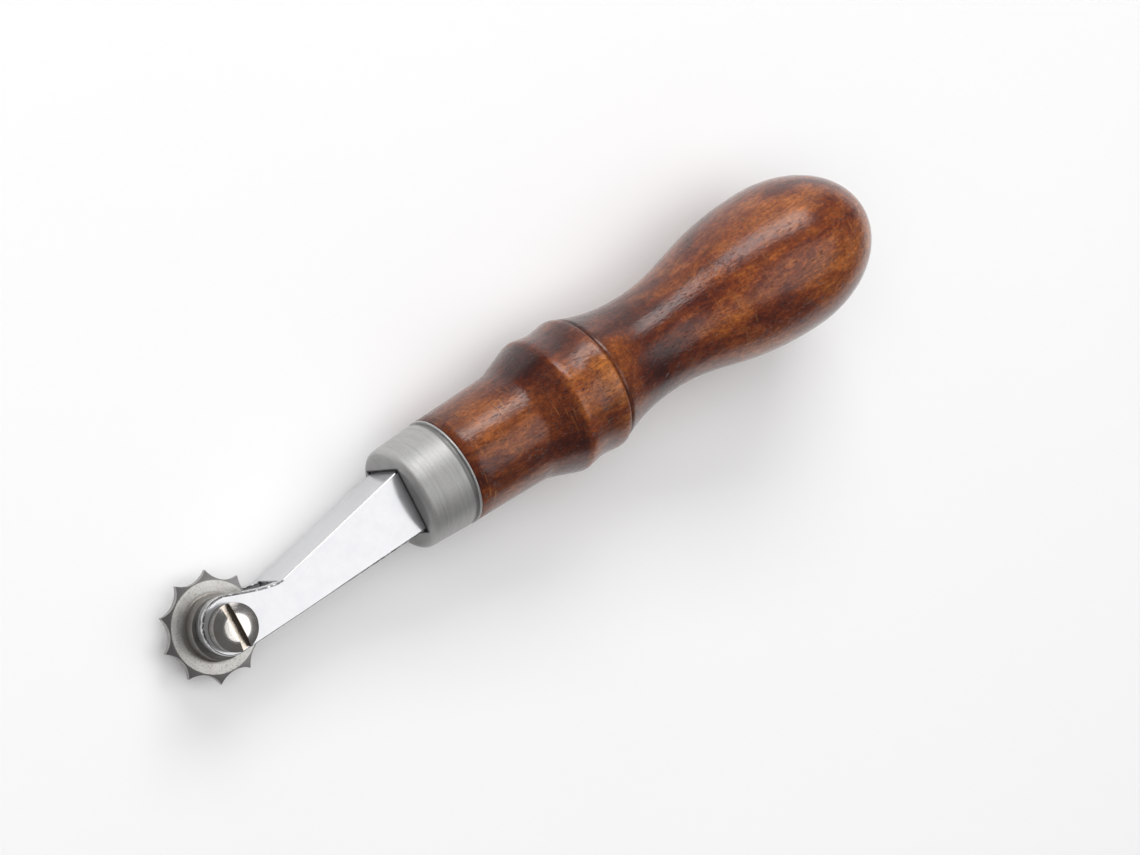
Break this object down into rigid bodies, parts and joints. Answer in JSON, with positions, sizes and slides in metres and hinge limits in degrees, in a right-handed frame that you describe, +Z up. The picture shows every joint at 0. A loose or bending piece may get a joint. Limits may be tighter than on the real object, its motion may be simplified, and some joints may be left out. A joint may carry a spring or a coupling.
{
  "type": "stitch marking wheel",
  "caption": "Hand tool with a turned wooden handle, a steel ferrule and a fork that carries a scalloped marking wheel on a slotted shoulder screw.",
  "frame": {"origin": "on the ground, under the middle of the tool's box, with the tool lying on the far ear of its fork and the first ridge of its handle", "axes": "+X along the tool towards the pommel, +Z up; the axle screw's head is on top"},
  "size_m": [0.1334, 0.024, 0.0272],
  "materials": {
    "stained_wood": "reddish brown stain under clear gloss lacquer",
    "satin_steel": "turned and brushed round the axis",
    "bright_steel": "bright plated, fine specks",
    "tool_steel": "ground, uncoated",
    "polished_steel": "turned and polished"
  },
  "bodies": {
    "tool_body": {"handle": "stained_wood", "ferrule": "satin_steel", "fork": "bright_steel"},
    "wheel": {"marking_wheel": "tool_steel"},
    "screw": {"axle_screw": "polished_steel"}
  },
  "joints": [
    {"name": "wheel_spin", "type": "hinge", "parent": "tool_body", "child": "wheel", "pos_m": [-0.05874, -0.00115, 0.00504], "axis": [-0.0931, 0, 0.9957], "continuous": true},
    {"name": "screw_withdraw", "type": "slide", "parent": "tool_body", "child": "screw", "axis": [-0.0931, 0, 0.9957], "range_m": [0, 0.0105]}
  ]
}
